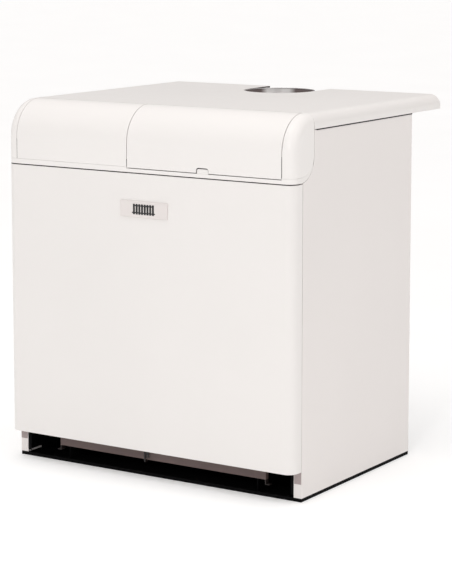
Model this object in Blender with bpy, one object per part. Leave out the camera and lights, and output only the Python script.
"""Floor-standing cast-iron gas boiler with an atmospheric burner, as an assembly of separate parts.

Metres, +Z up. The origin is the middle of the footprint on the floor. The front faces -Y, +X is the
right-hand side seen from the front. Every object is one closed solid; an empty carries the tilted
control fascia.
"""

import math

import bmesh
import bpy
from mathutils import Matrix, Vector

# ---------------------------------------------------------------- driving dimensions
WIDTH = 0.800                               # over the side panels
HEIGHT = 0.875                              # floor to the top of the cover
DEPTH = 0.700                               # badge face to the cover's rear edge
SHEET = 0.0015                              # painted sheet steel
SKIN = 0.0028                               # moulded console skin
GAP = 0.0003                                # play between parts that touch
BADGE_PROUD = 0.003

HALF = WIDTH / 2
FRONT_Y = -DEPTH / 2 + BADGE_PROUD          # face of the front panel and of the console
SIDE_FRONT_Y = FRONT_Y + 0.041              # front edge of the side panels
SIDE_REAR_Y = SIDE_FRONT_Y + 0.511          # rear edge of the side panels
COVER_REAR_Y = DEPTH / 2                    # rear edge of the overhanging top cover
BASE_Z = 0.008                              # visible black edge under the side panels
FLANGE = 0.021                              # return flange of a side panel
LIP_H = 0.0055                              # upturned inner lip of a side panel's bottom flange
PANEL_Z = (0.070, 0.7215)                   # front panel, bottom and top
CORNER_R = 0.024                            # vertical rounded corners of panel and console
COVER_Z = 0.840                             # lower edge of the top cover
COVER_R = 0.028                             # bullnose of the top cover
COVER_PROUD = 0.002                         # how far the cover stands out over the side panels

# ---------------------------------------------------------------- console (hood over the controls)
TRIM_Z = (0.724, 0.736)                     # strip under the fixed cover and the end caps
DOOR_TRIM_Z = 0.7327                        # top of the strip under the door
DOOR_LOW_Z = DOOR_TRIM_Z + 0.0018           # lower edge of the door
CONSOLE_REAR_Y = SIDE_FRONT_Y + 0.048
CONSOLE_R = 0.086                           # big radius between front and top
LIP_R = 0.0035                              # rounded rear edge of the console's skin
END_WIDTH = 0.031                           # width of each end cap
TAIL_R = 0.057                              # rounded lower rear corner of the end caps
SPLIT_X = -0.049                            # joint between the fixed cover and the door
SEAM = 0.0012                               # half of the joint around the door
PIVOT_Y, PIVOT_Z = -0.2665, 0.8685          # hinge line of the door
ROD_R = 0.002
FINGER_X = (SPLIT_X + HALF - END_WIDTH) / 2
FINGER_W, FINGER_H = 0.034, 0.0117

# ---------------------------------------------------------------- control fascia
FASCIA_AT = Vector((FINGER_X, -0.306, 0.802))
FASCIA_TILT = math.radians(67.5)            # its face looks forward and up
FASCIA_SIZE = (0.408, 0.118, 0.003)
SWITCH_X, KNOB_X, KNOB_2_X, CAP_X, RESET_X, GAUGE_X = -0.070, -0.016, 0.042, 0.087, 0.117, 0.162
BLANK_X = -0.142
SWITCH_TILT = 9.0                           # the rocker rests in its off position, lower end pressed
GAUGE_R = 0.027
BOX_FRONT_Y = -0.262                        # front of the electrical enclosure behind the fascia

# ---------------------------------------------------------------- cast-iron body and burner
SECTIONS = 6
PITCH = 0.098
CAST_Y = (-0.205, 0.165)
CAST_Z = (0.062, 0.690)
TIE_RODS = {
    "tie_rod_upper": (CAST_Y[0] + 0.0075, CAST_Z[1] + 0.0090),
    "tie_rod_lower": (CAST_Y[0] - 0.0095, CAST_Z[0] + 0.0072),
}
CHAMBER_Z = 0.262                           # top of the combustion chamber
WEB = 0.010
BODY_HALF = SECTIONS * PITCH / 2
BURNER_Z = 0.118
MANIFOLD_Y = -0.262
BURNER_PLATE_Y = -0.2115
ELECTRODE_X, ELECTRODE_Z = 0.012, 0.176
SIGHT_X, SIGHT_Z, SHUTTER_PIN_Z = 0.098, 0.214, 0.236
VALVE_X = (-0.306, -0.238)
GAS_PIPE_X = -0.348
WATER_X = 0.245
FLOW_Z, RETURN_Z = 0.640, 0.120
PIPE_END_Y = 0.270
WATER_R, GAS_R = 0.0242, 0.0134

# ---------------------------------------------------------------- flue
FLUE_Y = SIDE_FRONT_Y + 0.555
FLUE_R = 0.0878                              # inside of the flue collar
COLLAR_WALL = 0.0014
NOTCH_R = 0.0900
DIVERTER_X = 0.165
DIVERTER_Y = (0.148, 0.345)
DIVERTER_Z = (0.693, 0.848)

# ---------------------------------------------------------------- air baffles under the burner
BAFFLE_Y = SIDE_FRONT_Y + 0.014
BAFFLE_Z = (0.0345, 0.096)
BAFFLE_X = (-0.290, 0.2965)
BAFFLE_JOINT_X = -0.0375


# ================================================================ small modelling kit
def material(name, colour, roughness, metallic=0.0, alpha=1.0):
    mat = bpy.data.materials.new(name)
    mat.use_nodes = True
    shader = mat.node_tree.nodes["Principled BSDF"]
    shader.inputs["Base Color"].default_value = (*colour, 1.0)
    shader.inputs["Roughness"].default_value = roughness
    shader.inputs["Metallic"].default_value = metallic
    shader.inputs["Alpha"].default_value = alpha
    return mat


def add(name, bm, mat, parent=None):
    """Turns a bmesh into a named object, smooth where it is round."""
    bmesh.ops.recalc_face_normals(bm, faces=bm.faces[:])
    mesh = bpy.data.meshes.new(name)
    bm.to_mesh(mesh)
    bm.free()
    if mat:
        mesh.materials.append(mat)
    mesh.shade_smooth()
    mesh.set_sharp_from_angle(angle=math.radians(32))
    obj = bpy.data.objects.new(name, mesh)
    bpy.context.scene.collection.objects.link(obj)
    obj.parent = parent
    return obj


def block(x, y, z):
    """A box between the given limits, each a (low, high) pair."""
    bm = bmesh.new()
    bmesh.ops.create_cube(bm, size=1.0)
    size = Vector((x[1] - x[0], y[1] - y[0], z[1] - z[0]))
    centre = Vector((x[0] + x[1], y[0] + y[1], z[0] + z[1])) / 2
    bmesh.ops.transform(bm, matrix=Matrix.Translation(centre) @ Matrix.Diagonal((*size, 1.0)), verts=bm.verts)
    return bm


def drop_faces(bm, direction):
    """Opens a box by deleting the faces that look one way."""
    bm.normal_update()
    way = Vector(direction)
    bmesh.ops.delete(bm, geom=[f for f in bm.faces if f.normal.dot(way) > 0.99], context="FACES")


def round_edges(bm, edges, radius, segments):
    bmesh.ops.bevel(
        bm, geom=edges, offset=radius, offset_type="OFFSET", segments=segments, profile=0.5, affect="EDGES"
    )


def prism(outline, axis, start, end):
    """An outline of (a, b) points swept along X, Y or Z. The pairs are (y, z), (x, z) or (x, y)."""
    place = {
        "X": lambda a, b, c: (c, a, b),
        "Y": lambda a, b, c: (a, c, b),
        "Z": lambda a, b, c: (a, b, c),
    }[axis]
    bm = bmesh.new()
    face = bm.faces.new([bm.verts.new(place(a, b, start)) for a, b in outline])
    swept = bmesh.ops.extrude_face_region(bm, geom=[face])
    verts = [v for v in swept["geom"] if isinstance(v, bmesh.types.BMVert)]
    bmesh.ops.translate(bm, verts=verts, vec=place(0, 0, end - start))
    return bm


def arc(centre, radii, start, end, steps):
    """Points on an ellipse's arc; angles in degrees."""
    angles = [math.radians(start + (end - start) * i / steps) for i in range(steps + 1)]
    return [(centre[0] + radii[0] * math.cos(a), centre[1] + radii[1] * math.sin(a)) for a in angles]


def rod(start, end, radius, sides=20, end_radius=None):
    """A cylinder, or a cone, from one point to another."""
    start, end = Vector(start), Vector(end)
    bm = bmesh.new()
    bmesh.ops.create_cone(
        bm, cap_ends=True, segments=sides, radius1=radius,
        radius2=radius if end_radius is None else end_radius, depth=(end - start).length,
    )
    turn = (end - start).to_track_quat("Z", "Y").to_matrix().to_4x4()
    bmesh.ops.transform(bm, matrix=Matrix.Translation((start + end) / 2) @ turn, verts=bm.verts)
    return bm


def turned(profile, sides):
    """A closed (radius, height) profile spun about the Z axis."""
    bm = bmesh.new()
    verts = [bm.verts.new((r, 0, z)) for r, z in profile]
    loop = [bm.edges.new((verts[i], verts[(i + 1) % len(verts)])) for i in range(len(verts))]
    bmesh.ops.spin(
        bm, geom=verts + loop, cent=(0, 0, 0), axis=(0, 0, 1), angle=math.tau, steps=sides, use_merge=True
    )
    bmesh.ops.remove_doubles(bm, verts=bm.verts, dist=1e-6)
    axis_edges = [e for e in bm.edges if all(v.co.xy.length < 1e-7 for v in e.verts)]
    bmesh.ops.delete(bm, geom=axis_edges, context="EDGES")
    return bm


def applied(obj):
    """Makes the object's modifiers part of its mesh."""
    graph = bpy.context.evaluated_depsgraph_get()
    mesh = bpy.data.meshes.new_from_object(obj.evaluated_get(graph))
    obj.modifiers.clear()
    obj.data = mesh
    return obj


def combine(obj, operation, *shapes):
    """Joins shapes to the object, or cuts them from it, with exact Booleans."""
    tools = [add(f"tool_{i}", bm, None) for i, bm in enumerate(shapes)]
    for tool in tools:
        tool.hide_render = True
        tool.display_type = "WIRE"
        modifier = obj.modifiers.new("Combine", "BOOLEAN")
        modifier.operation = operation
        modifier.object = tool
    bpy.context.view_layer.update()
    applied(obj)
    for tool in tools:
        bpy.data.objects.remove(tool)
    return obj


def thicken(obj, thickness):
    """Gives an open surface its wall, growing inwards from the modelled face."""
    modifier = obj.modifiers.new("Wall", "SOLIDIFY")
    modifier.thickness = thickness
    modifier.offset = -1.0
    modifier.use_even_offset = True
    bpy.context.view_layer.update()
    return applied(obj)


def pan(name, x, y, z, open_to, mat, wall=SHEET):
    """A folded sheet box with one open side."""
    bm = block(x, y, z)
    drop_faces(bm, open_to)
    return thicken(add(name, bm, mat), wall)


# ================================================================ casing
def base_frame(mats):
    """Black plinth: floor tray, inner walls and the two rails that carry the cast-iron body."""
    inner = HALF - FLANGE - 0.002
    rail_x, rail_top = 0.270, CAST_Z[0] - GAP
    tray = ((-HALF + 0.001, HALF - 0.001), (SIDE_FRONT_Y, SIDE_REAR_Y), (0, BASE_Z))
    obj = pan("base_frame", *tray, (0, 0, 1), mats["black"])
    shapes = [block((-inner, inner), (0.188, 0.190), (0.0005, 0.060))]
    for side in (-1, 1):
        wall = sorted((side * inner, side * (inner - 0.002)))
        web = sorted((side * rail_x, side * (rail_x - 0.003)))
        flange = sorted((side * rail_x, side * (rail_x - 0.034)))
        shapes += [
            block(wall, (SIDE_FRONT_Y + 0.050, 0.1895), (0.0005, 0.060)),
            block(web, (-0.283, 0.189), (0.0005, rail_top)),
            block(flange, (-0.283, 0.189), (rail_top - 0.003, rail_top)),
        ]
    return combine(obj, "UNION", *shapes)


def side_panel(name, side, mats):
    """Pan-shaped side panel. Its upper front corner is cut to the curve of the console's end cap."""
    outer, inner = side * HALF, side * (HALF - FLANGE)
    obj = pan(name, sorted((outer, inner)), (SIDE_FRONT_Y, SIDE_REAR_Y), (BASE_Z + GAP, COVER_Z - SHEET),
              (-side, 0, 0), mats["white"])
    lip = sorted((inner, inner + side * SHEET))
    lip_y = (SIDE_FRONT_Y + 0.0005, SIDE_REAR_Y - 0.0005)
    combine(obj, "UNION", block(lip, lip_y, (BASE_Z + 0.0008, BASE_Z + LIP_H)))
    clear = 0.001
    tail = (CONSOLE_REAR_Y - TAIL_R, TRIM_Z[0] + TAIL_R)
    reach = TAIL_R + clear
    corner = [(FRONT_Y - 0.01, TRIM_Z[0] - clear)]
    corner += arc(tail, (reach, reach), -90, 0, 8)
    corner += [(CONSOLE_REAR_Y + clear, HEIGHT), (FRONT_Y - 0.01, HEIGHT)]
    return combine(obj, "DIFFERENCE", prism(corner, "X", *sorted((0, side * (HALF + 0.01)))))


def rear_panel(mats):
    """Rear panel, notched round the draught diverter, with holes for the pipes and the cable gland."""
    half = HALF - FLANGE - 0.0005
    tray = ((-half, half), (SIDE_REAR_Y - 0.010, SIDE_REAR_Y), (BASE_Z + 0.002, COVER_Z - 0.002))
    obj = pan("rear_panel", *tray, (0, -1, 0), mats["galvanised"])
    notch = DIVERTER_X + 0.003
    holes = [block((-notch, notch), (0.15, 0.25), (DIVERTER_Z[0] - 0.003, 0.9))]
    for x, z, radius in (
        (WATER_X, FLOW_Z, WATER_R + 0.004),
        (WATER_X, RETURN_Z, WATER_R + 0.004),
        (GAS_PIPE_X, BURNER_Z, GAS_R + 0.003),
        (-0.300, 0.640, 0.0085),
    ):
        holes.append(rod((x, 0.15, z), (x, 0.25, z), radius))
    return combine(obj, "DIFFERENCE", *holes)


def top_cover(mats):
    """Overhanging top with bullnosed sides and a notch for the flue that runs out to the rear edge."""
    half = HALF + COVER_PROUD
    front = CONSOLE_REAR_Y + 0.0003
    bm = block((-half, half), (front, COVER_REAR_Y), (COVER_Z, HEIGHT))
    drop_faces(bm, (0, 0, -1))
    top = [e for e in bm.edges if all(v.co.z > HEIGHT - 1e-6 for v in e.verts)]
    sides = [e for e in top if abs(e.verts[0].co.x - e.verts[1].co.x) < 1e-6]
    round_edges(bm, sides, COVER_R, 7)
    obj = thicken(add("top_cover", bm, mats["white"]), SHEET)
    notch = arc((0, FLUE_Y), (NOTCH_R, NOTCH_R), 180, 360, 24) + [(NOTCH_R, 0.4), (-NOTCH_R, 0.4)]
    return combine(obj, "DIFFERENCE", prism(notch, "Z", 0.8, 0.9))


def front_panel(mats):
    """Lift-off front panel with rounded vertical corners, its badge and its glued-in lining."""
    bm = block((-HALF, HALF), (FRONT_Y, SIDE_FRONT_Y - SHEET), PANEL_Z)
    drop_faces(bm, (0, 1, 0))
    front = [e for e in bm.edges if all(v.co.y < FRONT_Y + 1e-6 for v in e.verts)]
    corners = [e for e in front if abs(e.verts[0].co.z - e.verts[1].co.z) > 0.1]
    round_edges(bm, corners, CORNER_R, 6)
    thicken(add("front_panel", bm, mats["white"]), SHEET)
    badge_z = PANEL_Z[1] - 0.0815
    bm = block((-0.066, 0.066), (FRONT_Y - BADGE_PROUD, FRONT_Y - GAP), (badge_z - 0.019, badge_z + 0.019))
    add("badge_plate", bm, mats["badge"])
    lining_z = (PANEL_Z[0] + 0.030, PANEL_Z[1] - 0.030)
    bm = block((-0.366, 0.366), (FRONT_Y + SHEET + GAP, FRONT_Y + 0.020), lining_z)
    add("front_panel_lining", bm, mats["wool"])


# ================================================================ console
def hood_line(inset, low):
    """Console profile in (y, z): up from the front's lower edge, over the big radius, to the rear lip."""
    y, z = FRONT_Y + inset, HEIGHT - inset
    centre = (FRONT_Y + CONSOLE_R, HEIGHT - CONSOLE_R)
    radius = CONSOLE_R - inset
    lip = (CONSOLE_REAR_Y - 0.002 - LIP_R, z - LIP_R)
    return [(y, low)] + arc(centre, (radius, radius), 180, 97.5, 11) + arc(lip, (LIP_R, LIP_R), 90, 0, 3)


def hood_skin(name, x, low, mat):
    """A length of the console's curved skin."""
    line = hood_line(0, low)
    bm = bmesh.new()
    rows = [[bm.verts.new((at, y, z)) for y, z in line] for at in x]
    for i in range(len(line) - 1):
        bm.faces.new((rows[0][i], rows[1][i], rows[1][i + 1], rows[0][i + 1]))
    obj = add(name, bm, mat)
    # The open strip has no inside of its own, so its faces are turned to look out of the console.
    if obj.data.polygons[0].normal.y > 0:
        obj.data.flip_normals()
    return thicken(obj, SKIN)


def hinge_lug(x):
    return block(x, (PIVOT_Y - 0.005, PIVOT_Y + 0.005), (PIVOT_Z - 0.0055, HEIGHT - SKIN + 0.0012))


def console_trim(mats):
    """Strip under door and cover, with cheeks that follow the end caps' rounded lower rear corners."""
    depth = 0.010
    rear = CONSOLE_REAR_Y

    def plan(inset):
        x, y, r = HALF - inset, FRONT_Y + inset, CORNER_R - inset
        left = arc((-x + r, y + r), (r, r), 180, 270, 6)
        right = arc((x - r, y + r), (r, r), 270, 360, 6)
        return [(-x, rear)] + left + right + [(x, rear)]

    rim = prism(plan(0) + plan(depth)[::-1], "Z", TRIM_Z[0], TRIM_Z[0] + TAIL_R + 0.002)
    obj = add("console_trim", rim, mats["console"])
    centre = (rear - TAIL_R, TRIM_Z[0] + TAIL_R)
    upper = TAIL_R - (TRIM_Z[1] - TRIM_Z[0])
    side = [(FRONT_Y - 0.01, TRIM_Z[0] - 0.001), (centre[0], TRIM_Z[0] - 0.001)]
    side += arc(centre, (TAIL_R, TAIL_R), -89, -22, 8)
    side += arc(centre, (TAIL_R, upper), -24, -90, 8) + [(FRONT_Y - 0.01, TRIM_Z[1])]
    combine(obj, "INTERSECT", prism(side, "X", -HALF - 0.01, HALF + 0.01))
    step = block((SPLIT_X, HALF - END_WIDTH), (FRONT_Y - 0.01, FRONT_Y + 0.02), (DOOR_TRIM_Z, 0.76))
    combine(obj, "DIFFERENCE", step)
    half, top, r = FINGER_W / 2 - 0.0018, DOOR_LOW_Z + FINGER_H - 0.0025, 0.0045
    tab = [(-half, DOOR_TRIM_Z - 0.004), (half, DOOR_TRIM_Z - 0.004)]
    tab += arc((half - r, top - r), (r, r), 0, 90, 3)
    tab += arc((-half + r, top - r), (r, r), 90, 180, 3)
    tab = [(FINGER_X + x, z) for x, z in tab]
    return combine(obj, "UNION", prism(tab, "Y", FRONT_Y + 0.0015, FRONT_Y + 0.0045))


def console_end(name, side, mats):
    """Moulded end cap: closed on its outer side, rounded along the front and the top."""
    rear = CONSOLE_REAR_Y - 0.0005
    low = TRIM_Z[1] + GAP
    centre = (CONSOLE_REAR_Y - TAIL_R, TRIM_Z[0] + TAIL_R)
    hood = hood_line(0, low)[:-4] + [(rear, HEIGHT)]
    tail = arc(centre, (rear - centre[0], centre[1] - low), 0, -90, 8)
    bm = prism(hood + tail, "X", side * HALF, side * (HALF - END_WIDTH + SEAM))
    bmesh.ops.recalc_face_normals(bm, faces=bm.faces[:])
    drop_faces(bm, (-side, 0, 0))
    spine = {(round(y, 6), round(z, 6)) for y, z in hood}

    def on_hood(v):
        return (round(v.co.y, 6), round(v.co.z, 6)) in spine

    gone = [f for f in bm.faces if abs(f.normal.x) < 0.5 and not all(on_hood(v) for v in f.verts)]
    bmesh.ops.delete(bm, geom=gone, context="FACES")
    outer = [e for e in bm.edges if all(abs(v.co.x - side * HALF) < 1e-6 and on_hood(v) for v in e.verts)]
    rim = [e for e in outer if len(e.link_faces) == 2]
    round_edges(bm, rim, CORNER_R, 5)
    obj = add(name, bm, mats["console"])
    outer = max(obj.data.polygons, key=lambda p: p.area)
    if outer.normal.x * side < 0:
        obj.data.flip_normals()
    thicken(obj, SKIN)
    if side > 0:
        lug_x = (HALF - END_WIDTH + SEAM + 0.001, HALF - END_WIDTH + SEAM + 0.007)
        combine(obj, "UNION", hinge_lug(lug_x))
        hole = rod((lug_x[0] - 0.01, PIVOT_Y, PIVOT_Z), (lug_x[1] + 0.01, PIVOT_Y, PIVOT_Z), ROD_R + GAP, 16)
        combine(obj, "DIFFERENCE", hole)
    return obj


def console(mats):
    console_trim(mats)
    console_end("console_end_left", -1, mats)
    console_end("console_end_right", 1, mats)
    left, right = -HALF + END_WIDTH, HALF - END_WIDTH

    cover = hood_skin("console_cover", (left, SPLIT_X - SEAM / 2), TRIM_Z[1] + GAP, mats["console"])
    combine(cover, "UNION", hinge_lug((SPLIT_X - 0.0080, SPLIT_X - 0.0020)))
    combine(cover, "DIFFERENCE",
            rod((SPLIT_X - 0.02, PIVOT_Y, PIVOT_Z), (SPLIT_X + 0.02, PIVOT_Y, PIVOT_Z), ROD_R + GAP, 16))
    console_door(mats, SPLIT_X + SEAM, right - SEAM / 2)
    hinge = rod((SPLIT_X - 0.007, PIVOT_Y, PIVOT_Z), (right + 0.0065, PIVOT_Y, PIVOT_Z), ROD_R, 12)
    add("door_hinge_rod", hinge, mats["steel"])


def console_door(mats, left, right):
    """Flip-up door: curved skin, a rib along each end, two hinge lugs, a finger notch in the lower edge."""
    low = DOOR_LOW_Z
    door = hood_skin("console_door", (left, right), low, mats["console"])
    centre = (FRONT_Y + CONSOLE_R, HEIGHT - CONSOLE_R)
    rib = [(FRONT_Y + SKIN / 2, low + 0.0005)]
    rib += arc(centre, (CONSOLE_R - SKIN / 2, CONSOLE_R - SKIN / 2), 180, 101, 10)
    rib += arc(centre, (CONSOLE_R - SKIN - 0.006, CONSOLE_R - SKIN - 0.006), 101, 180, 6)
    rib += [(FRONT_Y + SKIN + 0.006, low + 0.0005)]
    shapes = []
    for x in ((left + 0.0004, left + 0.0026), (right - 0.0026, right - 0.0004)):
        shapes.append(prism(rib, "X", *x))
    shapes += [hinge_lug((left + 0.006, left + 0.012)), hinge_lug((right - 0.012, right - 0.006))]
    combine(door, "UNION", *shapes)
    half, top, r = FINGER_W / 2, low + FINGER_H, 0.006
    notch = [(-half, low - 0.01), (half, low - 0.01)]
    notch += arc((half - r, top - r), (r, r), 0, 90, 3)
    notch += arc((-half + r, top - r), (r, r), 90, 180, 3)
    notch = [(FINGER_X + x, z) for x, z in notch]
    combine(door, "DIFFERENCE", prism(notch, "Y", FRONT_Y - 0.01, FRONT_Y + 0.008),
            rod((left - 0.01, PIVOT_Y, PIVOT_Z), (right + 0.01, PIVOT_Y, PIVOT_Z), ROD_R + GAP, 16))
    relief_y, relief_z = (CONSOLE_REAR_Y - 0.0085, CONSOLE_REAR_Y + 0.01), (HEIGHT - 0.012, HEIGHT + 0.01)
    combine(door, "DIFFERENCE",
            block((left - 0.01, left + 0.0017), relief_y, relief_z),
            block((right - 0.0017, right + 0.01), relief_y, relief_z))
    return door


# ================================================================ controls, on the tilted fascia
def fascia_empty():
    empty = bpy.data.objects.new("fascia_plane", None)
    bpy.context.scene.collection.objects.link(empty)
    empty.location = FASCIA_AT
    empty.rotation_euler = (FASCIA_TILT, 0, 0)
    return empty


def fascia_point(y, z):
    """A (y, z) place in the casing, in the fascia's own (up, out) coordinates."""
    y, z = y - FASCIA_AT.y, z - FASCIA_AT.z
    c, s = math.cos(FASCIA_TILT), math.sin(FASCIA_TILT)
    return (y * c + z * s, z * c - y * s)


def knob(name, x, mats, parent):
    """Grip knob with a skirt and a raised pointer bar. Its origin is on its spindle."""
    profile = [(0, 0.0006), (0.0195, 0.0006), (0.0195, 0.0030), (0.0150, 0.0050), (0.0135, 0.0170),
               (0.0125, 0.0180), (0, 0.0180)]
    obj = add(name, turned(profile, 24), mats["black_plastic"], parent)
    obj.location = (x, 0, FASCIA_SIZE[2])
    # The bar is joined in the knob's own space, where the spindle is the Z axis.
    plain = obj.matrix_world.copy()
    obj.parent, obj.matrix_world = None, Matrix.Identity(4)
    combine(obj, "UNION", block((-0.0025, 0.0025), (-0.0128, 0.0128), (0.0100, 0.0192)))
    obj.matrix_world = plain
    obj.parent, obj.location = parent, (x, 0, FASCIA_SIZE[2])
    return obj


def controls(mats):
    """Fascia plate and everything on it, drawn in the fascia's own plane: X along, Y up, Z out of it."""
    plane = fascia_empty()
    length, tall, thick = FASCIA_SIZE
    plate = block((-length / 2, length / 2), (-tall / 2, tall / 2), (0, thick))
    fascia = add("control_fascia", plate, mats["grey_plastic"])
    combine(
        fascia, "DIFFERENCE",
        block((SWITCH_X - 0.0115, SWITCH_X + 0.0115), (-0.0155, 0.0155), (-0.01, 0.01)),
        rod((RESET_X, 0, -0.01), (RESET_X, 0, 0.01), 0.0068, 20),
        rod((GAUGE_X, 0, -0.01), (GAUGE_X, 0, 0.01), GAUGE_R + 0.0005, 32),
        block((BLANK_X - 0.048, BLANK_X + 0.048), (-0.030, 0.030), (thick - 0.0012, 0.01)),
    )
    # Cheeks run back from both ends of the fascia to the front of the control box.
    back = BOX_FRONT_Y - GAP
    cheek = [(-0.054, 0.0005), (0.054, 0.0005), fascia_point(back, 0.826), fascia_point(back, 0.752)]
    for side in (-1, 1):
        ends = (side * (length / 2 - 0.0005), side * (length / 2 - 0.0020))
        combine(fascia, "UNION", prism(cheek, "X", *ends))
    fascia.parent = plane

    knob("thermostat_knob", KNOB_X, mats, plane)
    knob("second_stage_knob", KNOB_2_X, mats, plane)

    rocker = [(-0.0145, -0.004), (0.0145, -0.004), (0.0145, 0.0048), (0.0, 0.0026), (-0.0145, 0.0048)]
    switch = add("power_switch", prism(rocker, "X", -0.0105, 0.0105), mats["black_plastic"], plane)
    switch.location = (SWITCH_X, 0, thick)
    switch.rotation_euler = (math.radians(SWITCH_TILT), 0, 0)

    button = [(0, -0.0060), (0.0064, -0.0060), (0.0064, 0.0050), (0.0058, 0.0060), (0, 0.0060)]
    reset = add("reset_button", turned(button, 20), mats["amber"], plane)
    reset.location = (RESET_X, 0, thick)

    cap = [(0, GAP), (0.0100, GAP), (0.0100, 0.0080), (0.0088, 0.0095), (0, 0.0095)]
    screw_cap = add("safety_cap", turned(cap, 20), mats["black_plastic"], plane)
    screw_cap.location = (CAP_X, 0, thick)
    gauge(mats, plane)


def gauge(mats, plane):
    """Combined thermometer and water pressure gauge: housing, dial, two needles and a lens."""
    thick = FASCIA_SIZE[2]
    r = GAUGE_R
    cup = [(0, -0.022), (r, -0.022), (r, thick + GAP), (r + 0.004, thick + GAP), (r + 0.004, thick + 0.0030),
           (r + 0.001, thick + 0.0045), (r - 0.002, thick + 0.0045), (r - 0.002, -0.0035), (0, -0.0035)]
    dial = [(0, -0.0032), (r - 0.0025, -0.0032), (r - 0.0025, -0.0024), (0, -0.0024)]
    needles = (("temperature_needle", 0.0060, 0.0150, 0.0004), ("pressure_needle", -0.0080, 0.0110, -0.0014))
    lens = [(0, 0.0034), (r - 0.0024, 0.0034), (r - 0.0024, 0.0050), (0, 0.0050)]
    for name, profile, mat in (
        ("gauge_housing", cup, "black_plastic"), ("gauge_dial", dial, "dial"), ("gauge_lens", lens, "glass"),
    ):
        obj = add(name, turned(profile, 28), mats[mat], plane)
        obj.location = (GAUGE_X, 0, 0)
        if name == "gauge_dial":
            obj.location = (0, 0, 0)
            posts = [rod((0, up, -0.0028), (0, up, height - GAP), 0.0012, 10) for _, up, _, height in needles]
            obj.parent = None
            combine(obj, "UNION", *posts)
            obj.parent, obj.location = plane, (GAUGE_X, 0, 0)
    for name, up, length, height in needles:
        needle = [(0.0020, -0.0016), (0.0020, 0.0016), (-0.0016, 0.0017)]
        needle += [(-length, 0.0003), (-length, -0.0003), (-0.0016, -0.0017)]
        obj = add(name, prism(needle, "Z", 0, 0.0007), mats["black_plastic"], plane)
        obj.location = (GAUGE_X, up, height)
        obj.rotation_euler = (0, 0, math.radians(25 if up > 0 else -25))


# ================================================================ cast-iron body
def cast_section(end):
    """One section standing in the YZ plane at x = 0: web, sealing strips, water ports and feet."""
    half = PITCH / 2 - GAP
    y, z = CAST_Y, CAST_Z
    obj = add("section", block((-WEB / 2, WEB / 2), (y[0] + 0.001, y[1] - 0.001), (z[0] + 0.001, z[1])), None)
    shapes = [
        block((-half, half), (y[0], y[0] + 0.010), (CHAMBER_Z, z[1] - 0.001)),
        block((-half, half), (y[1] - 0.010, y[1]), (z[0], z[1] - 0.001)),
        block((-half, half), (y[0], y[0] + 0.020), (z[0], z[0] + 0.012)),
    ]
    for port_z in (0.120, 0.630):
        shapes.append(rod((-half, 0.110, port_z), (half, 0.110, port_z), 0.040, 14))
    for rib_z in (0.300, 0.380, 0.460, 0.540):
        rib = block((-half + 0.014, half - 0.014), (y[0] + 0.005, y[1] - 0.005), (rib_z, rib_z + 0.006))
        shapes.append(rib)
    combine(obj, "UNION", *shapes)
    if end:
        lug = sorted((end * (half - 0.013), end * (half - 0.001)))
        combine(
            obj, "UNION",
            block(lug, (y[0] + 0.001, y[0] + 0.014), (z[1] - 0.012, z[1] + 0.018)),
            block(lug, (y[0] - 0.018, y[0] + 0.006), (z[0] + 0.001, z[0] + 0.0135)),
        )
        holes = [rod((-0.1, *at), (0.1, *at), 0.0046, 12) for at in TIE_RODS.values()]
        combine(obj, "DIFFERENCE", *holes)
    mesh = obj.data
    bpy.data.objects.remove(obj)
    return mesh


def cast_body(mats):
    meshes = {end: cast_section(end) for end in (-1, 0, 1)}
    for i in range(SECTIONS):
        end = -1 if i == 0 else 1 if i == SECTIONS - 1 else 0
        mesh = meshes[end]
        if not mesh.materials:
            mesh.materials.append(mats["cast_iron"])
        obj = bpy.data.objects.new(f"section_{i + 1}", mesh)
        obj.location.x = (i - (SECTIONS - 1) / 2) * PITCH
        bpy.context.scene.collection.objects.link(obj)
    reach = BODY_HALF + 0.010
    for name, (y, z) in TIE_RODS.items():
        obj = add(name, rod((-reach, y, z), (reach, y, z), 0.0042, 10), mats["steel"])
        inner, outer = BODY_HALF + 0.0005, BODY_HALF + 0.0075
        nuts = [rod((s * inner, y, z), (s * outer, y, z), 0.0058, 6) for s in (-1, 1)]
        combine(obj, "UNION", *nuts)

    y, z = CAST_Y, (0.080, CAST_Z[1])
    for name, side in (("insulation_left", -1), ("insulation_right", 1)):
        x = sorted((side * (BODY_HALF + 0.0085), side * (BODY_HALF + 0.034)))
        add(name, block(x, y, z), mats["wool"])
    quilt = block((-0.292, 0.292), (-0.240, CAST_Y[0] - 0.002), (CHAMBER_Z + 0.001, 0.735))
    add("insulation_front", quilt, mats["wool"])


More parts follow.
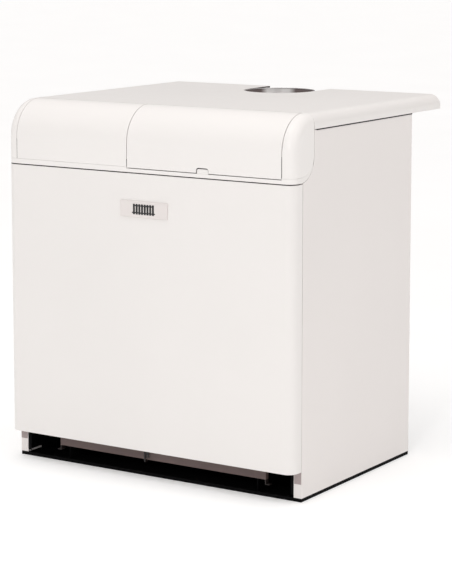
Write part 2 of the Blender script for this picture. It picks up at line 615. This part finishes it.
def smoke_path(mats):
    """Smoke hood over the sections, draught diverter behind it and the flue collar on top."""
    y = (CAST_Y[0] + 0.015, DIVERTER_Y[0] - 0.0015)
    low, high = CAST_Z[1] + 0.002, 0.792
    line = [(y[0], low), (y[0], low + 0.045), (y[0] + 0.075, high), (y[1], high), (y[1], low)]
    hood = add("smoke_hood", prism(line, "X", -0.290, 0.290), mats["galvanised"])
    t = 0.002
    inner = [(y[0] + t, low - 0.01), (y[0] + t, low + 0.045 - t / 2), (y[0] + 0.075 + t / 3, high - t),
             (y[1] - t, high - t), (y[1] - t, low - 0.01)]
    combine(hood, "DIFFERENCE", prism(inner, "X", -0.290 + t, 0.290 - t),
            block((-0.130, 0.130), (y[1] - 0.02, y[1] + 0.02), (0.706, 0.778)))

    x, dy, z, t = DIVERTER_X, DIVERTER_Y, DIVERTER_Z, SHEET
    diverter = add("draught_diverter", block((-x, x), dy, z), mats["galvanised"])
    combine(
        diverter, "DIFFERENCE",
        block((-x + t, x - t), (dy[0] + t, dy[1] - t), (z[0] + t, z[1] - t)),
        block((-x + 0.012, x - 0.012), (SIDE_REAR_Y + 0.012, dy[1] - 0.010), (z[0] - 0.01, z[0] + 0.01)),
        block((-0.130, 0.130), (dy[0] - 0.01, dy[0] + 0.01), (0.706, 0.778)),
        rod((0, FLUE_Y, z[1] - 0.01), (0, FLUE_Y, z[1] + 0.01), FLUE_R, 40),
    )
    bottom, top = z[1] + GAP, HEIGHT - 0.001
    ring = [(FLUE_R, bottom), (FLUE_R + COLLAR_WALL, bottom), (FLUE_R + COLLAR_WALL, top), (FLUE_R, top)]
    collar = add("flue_collar", turned(ring, 40), mats["bright"])
    collar.location.y = FLUE_Y


# ================================================================ burner assembly
def burner_bar(mats):
    """One atmospheric burner bar at x = 0: hollow, round-topped, with a bell-mouthed venturi at the front."""
    half, low, high, wall = 0.025, 0.094, 0.152, 0.0015

    def outline(inset):
        a, b = half - inset, low + inset
        base = [(-a + 0.006, b), (a - 0.006, b), (a, b + 0.006)]
        crown = arc((0, high - 0.020), (a, 0.020 - inset), 0, 180, 8)
        return base + crown + [(-a, b + 0.006)]

    obj = add("bar", prism(outline(0), "Y", -0.200, 0.060), mats["stainless"])
    combine(
        obj, "UNION",
        rod((0, -0.236, BURNER_Z), (0, -0.218, BURNER_Z), 0.0215, 16, 0.0150),
        rod((0, -0.2200, BURNER_Z), (0, -0.195, BURNER_Z), 0.0146, 16),
    )
    combine(
        obj, "DIFFERENCE",
        prism(outline(wall), "Y", -0.200 + wall, 0.060 - wall),
        rod((0, -0.250, BURNER_Z), (0, -0.214, BURNER_Z), 0.0240, 16, 0.0125),
        rod((0, -0.2160, BURNER_Z), (0, -0.190, BURNER_Z), 0.0120, 16),
    )
    mesh = obj.data
    bpy.data.objects.remove(obj)
    return mesh


def burner_assembly(mats):
    mesh = burner_bar(mats)
    bars = SECTIONS - 1
    at = [(i - (bars - 1) / 2) * PITCH for i in range(bars)]
    for i, x in enumerate(at):
        obj = bpy.data.objects.new(f"burner_bar_{i + 1}", mesh)
        obj.location.x = x
        bpy.context.scene.collection.objects.link(obj)

    y = BURNER_PLATE_Y
    sheet = block((-0.2915, 0.2915), (y, y + SHEET), (CAST_Z[0] + 0.014, CHAMBER_Z - 0.001))
    plate = add("burner_plate", sheet, mats["galvanised"])
    holes = [rod((x, y - 0.01, BURNER_Z), (x, y + 0.01, BURNER_Z), 0.0165, 16) for x in at]
    holes += [rod((SIGHT_X, y - 0.01, SIGHT_Z), (SIGHT_X, y + 0.01, SIGHT_Z), 0.010, 16),
              rod((ELECTRODE_X, y - 0.01, ELECTRODE_Z), (ELECTRODE_X, y + 0.01, ELECTRODE_Z), 0.0050, 12)]
    combine(plate, "DIFFERENCE", *holes)
    combine(plate, "UNION",
            rod((SIGHT_X, y - 0.0040, SHUTTER_PIN_Z), (SIGHT_X, y + 0.0005, SHUTTER_PIN_Z), 0.0020, 12),
            rod((SIGHT_X, y - 0.0046, SHUTTER_PIN_Z), (SIGHT_X, y - 0.0034, SHUTTER_PIN_Z), 0.0038, 12))

    my, z = MANIFOLD_Y, BURNER_Z
    manifold = add("gas_manifold", rod((VALVE_X[1] + GAP, my, z), (0.226, my, z), 0.0134, 20), mats["steel"])
    nozzles = [rod((x, my + 0.002, z), (x, my + 0.0255, z), 0.0068, 10, 0.0035) for x in at]
    combine(manifold, "UNION", *nozzles, rod((0.222, my, z), (0.236, my, z), 0.0165, 6))

    # Lit through the plate: a ceramic electrode with its steel tip over the middle bar.
    x, z = ELECTRODE_X, ELECTRODE_Z
    tip = add("ignition_electrode", rod((x, -0.236, z), (x, -0.190, z), 0.0046, 12), mats["ceramic"])
    combine(tip, "UNION", rod((x, -0.192, z), (x, -0.150, z), 0.0014, 8))

    # Round shutter that hangs over the sight hole from a pin above it.
    drop = SIGHT_Z - SHUTTER_PIN_Z
    shutter = add("peephole_shutter", rod((0, -0.0028, drop), (0, -0.0006, drop), 0.0150, 20), mats["steel"])
    combine(shutter, "UNION", block((-0.0055, 0.0055), (-0.0028, -0.0006), (-0.014, 0.0055)))
    combine(shutter, "DIFFERENCE", rod((0, -0.01, 0), (0, 0.01, 0), 0.0020 + GAP, 12))
    shutter.location = (SIGHT_X, y, SHUTTER_PIN_Z)
    gas_train(mats)


def gas_train(mats):
    """Gas valve with its coil, the pipe from the rear and the cable from the control box."""
    x, y, z = VALVE_X, (-0.296, -0.230), (0.099, 0.146)
    flange_y, flange_z = (MANIFOLD_Y - 0.018, MANIFOLD_Y + 0.018), (BURNER_Z - 0.018, BURNER_Z + 0.018)
    valve = add("gas_valve", block(x, y, z), mats["aluminium"])
    combine(
        valve, "UNION",
        rod((x[0] + 0.020, -0.278, z[1] - 0.003), (x[0] + 0.020, -0.278, z[1] + 0.010), 0.0085, 12),
        block((x[0] - 0.006, x[0] + 0.002), flange_y, flange_z),
        block((x[1] - 0.002, x[1]), flange_y, flange_z),
    )
    coil_x = (x[0] + 0.032, x[1] - 0.004)
    bm = block(coil_x, (-0.282, -0.236), (z[1] + GAP, z[1] + 0.042))
    round_edges(bm, [e for e in bm.edges if abs(e.verts[0].co.z - e.verts[1].co.z) > 0.01], 0.006, 3)
    add("gas_valve_coil", bm, mats["black_plastic"])

    start, bend = x[0] - 0.006 - GAP, 0.022
    elbow = arc((GAS_PIPE_X + bend, MANIFOLD_Y + bend), (bend, bend), 270, 180, 6)
    route = [(start, MANIFOLD_Y), *elbow, (GAS_PIPE_X, PIPE_END_Y)]
    tube("gas_pipe", [(px, py, BURNER_Z) for px, py in route], GAS_R, 4, mats["steel"])

    # Cable clipped down the front insulation, from the control box to the coil.
    top = Vector((-0.010, -0.246, 0.7440))
    end = Vector((sum(coil_x) / 2, -0.2495, z[1] + 0.042 + GAP))
    corners = [top, Vector((-0.010, -0.246, 0.700)), Vector((-0.040, -0.246, 0.640)),
               Vector((-0.200, -0.246, 0.560)), Vector((-0.255, -0.246, 0.480)),
               Vector((end.x, -0.247, 0.400)), Vector((end.x, -0.249, 0.260)), end]
    tube("valve_cable", smooth_route(corners, 3), 0.0034, 2, mats["black_plastic"])


def smooth_route(points, steps):
    """Points on a Catmull-Rom curve through the given ones."""
    ends = [points[0] * 2 - points[1], *points, points[-1] * 2 - points[-2]]
    route = []
    for a, b, c, d in zip(ends, ends[1:], ends[2:], ends[3:]):
        for i in range(steps):
            t = i / steps
            bend = 2 * a - 5 * b + 4 * c - d
            twist = 3 * b - a - 3 * c + d
            route.append(0.5 * (2 * b + (c - a) * t + bend * t**2 + twist * t**3))
    return [*route, points[-1]]


def tube(name, points, radius, resolution, mat):
    """A round tube along a line of points, with closed ends."""
    curve = bpy.data.curves.new(name, "CURVE")
    curve.dimensions = "3D"
    curve.bevel_depth = radius
    curve.bevel_resolution = resolution
    curve.use_fill_caps = True
    line = curve.splines.new("POLY")
    line.points.add(len(points) - 1)
    for point, at in zip(line.points, points):
        point.co = (*at, 1.0)
    curve.materials.append(mat)
    obj = bpy.data.objects.new(name, curve)
    bpy.context.scene.collection.objects.link(obj)
    return obj


def air_baffles(mats):
    """Two plates that hang under the burner, behind the front panel's lower edge, with L-shaped feet."""
    y, z, t = BAFFLE_Y, BAFFLE_Z, SHEET
    joint = 0.001
    for name, x, outer in (
        ("air_baffle_left", (BAFFLE_X[0], BAFFLE_JOINT_X - joint), -1),
        ("air_baffle_right", (BAFFLE_JOINT_X + joint, BAFFLE_X[1]), 1),
    ):
        plate = add(name, block(x, (y, y + t), z), mats["dark_steel"])
        shapes = [block(x, (y, y + 0.020), (z[1] - t, z[1]))]
        edge = x[0] if outer < 0 else x[1]
        leg = sorted((edge, edge - outer * 0.0022))
        foot = sorted((edge - outer * 0.0022, edge + outer * 0.009))
        shapes.append(block(leg, (y, y + 0.012), (0.0225, z[1] - 0.0005)))
        shapes.append(block(foot, (y, y + 0.012), (0.0225, 0.0245)))
        if outer < 0:
            shapes.append(block((x[1] - 0.0025, x[1]), (y, y + 0.010), (0.027, z[1] - 0.0005)))
        else:
            shapes.append(block((x[0] + 0.004, x[0] + 0.010), (y - 0.004, y + 0.0005), (0.048, 0.066)))
        combine(plate, "UNION", *shapes)


# ================================================================ water side and electrics
def water_side(mats):
    for name, z in (("flow_pipe", FLOW_Z), ("return_pipe", RETURN_Z)):
        start = CAST_Y[1] + GAP
        pipe = add(name, rod((WATER_X, start, z), (WATER_X, PIPE_END_Y, z), WATER_R, 24), mats["steel"])
        combine(pipe, "UNION", rod((WATER_X, start, z), (WATER_X, start + 0.010, z), 0.034, 24))
        combine(pipe, "DIFFERENCE", rod((WATER_X, 0.20, z), (WATER_X, PIPE_END_Y + 0.01, z), 0.0202, 24))

    # Drain cock under the return pipe, with a quarter-turn lever on its rear face.
    x, y, top = WATER_X, 0.236, RETURN_Z - WATER_R - 0.0006
    cock = add("drain_cock", rod((x, y, top - 0.046), (x, y, top), 0.0085, 16), mats["brass"])
    combine(cock, "UNION", rod((x, y, top - 0.030), (x, y, top - 0.016), 0.0125, 6),
            rod((x, y + 0.004, top - 0.023), (x, y + 0.018, top - 0.023), 0.0055, 12))
    strip = block((x - 0.006, x + 0.038), (y + 0.0183, y + 0.0213), (top - 0.029, top - 0.017))
    lever = add("drain_lever", strip, mats["red"])
    modifier = lever.modifiers.new("Edges", "BEVEL")
    modifier.width, modifier.segments = 0.0012, 1

    # Electrical enclosure behind the fascia, and the gland where the mains cable would enter.
    enclosure = ((-0.046, 0.366), (BOX_FRONT_Y, -0.205), (0.7445, 0.832))
    pan("control_box", *enclosure, (0, 1, 0), mats["galvanised"], 0.0012)
    barrel = rod((-0.300, 0.190, 0.640), (-0.300, 0.222, 0.640), 0.0080, 16)
    gland = add("mains_gland", barrel, mats["black_plastic"])
    nut = rod((-0.300, SIDE_REAR_Y + GAP, 0.640), (-0.300, SIDE_REAR_Y + 0.009, 0.640), 0.0120, 6)
    combine(gland, "UNION", nut)
    combine(gland, "DIFFERENCE", rod((-0.300, 0.18, 0.640), (-0.300, 0.23, 0.640), 0.0042, 12))


def main():
    for obj in list(bpy.data.objects):
        bpy.data.objects.remove(obj)
    mats = {
        "white": material("white_paint", (0.86, 0.84, 0.82), 0.35),
        "console": material("console_white", (0.87, 0.85, 0.83), 0.30),
        "black": material("black_paint", (0.01, 0.01, 0.01), 0.45),
        "galvanised": material("galvanised_sheet", (0.55, 0.56, 0.57), 0.40, 0.9),
        "dark_steel": material("grey_sheet", (0.16, 0.14, 0.14), 0.50, 0.4),
        "bright": material("bright_steel", (0.75, 0.74, 0.74), 0.15, 1.0),
        "stainless": material("stainless_steel", (0.60, 0.60, 0.61), 0.30, 1.0),
        "steel": material("zinc_steel", (0.50, 0.49, 0.47), 0.40, 1.0),
        "cast_iron": material("cast_iron", (0.10, 0.10, 0.10), 0.70, 0.3),
        "aluminium": material("die_cast_aluminium", (0.62, 0.62, 0.63), 0.45, 0.9),
        "brass": material("brass", (0.62, 0.45, 0.18), 0.35, 1.0),
        "ceramic": material("ceramic", (0.85, 0.83, 0.78), 0.30),
        "badge": material("badge_grey", (0.74, 0.71, 0.70), 0.35),
        "wool": material("mineral_wool", (0.70, 0.68, 0.55), 0.90),
        "grey_plastic": material("fascia_grey", (0.20, 0.21, 0.22), 0.50),
        "black_plastic": material("black_plastic", (0.02, 0.02, 0.02), 0.40),
        "amber": material("amber_lens", (0.90, 0.35, 0.02), 0.20),
        "dial": material("dial_white", (0.90, 0.90, 0.88), 0.50),
        "glass": material("clear_lens", (0.95, 0.97, 0.98), 0.05, 0.0, 0.3),
        "red": material("red_lever", (0.55, 0.03, 0.02), 0.40),
    }
    base_frame(mats)
    side_panel("side_panel_left", -1, mats)
    side_panel("side_panel_right", 1, mats)
    rear_panel(mats)
    top_cover(mats)
    front_panel(mats)
    console(mats)
    controls(mats)
    cast_body(mats)
    smoke_path(mats)
    burner_assembly(mats)
    air_baffles(mats)
    water_side(mats)


main()
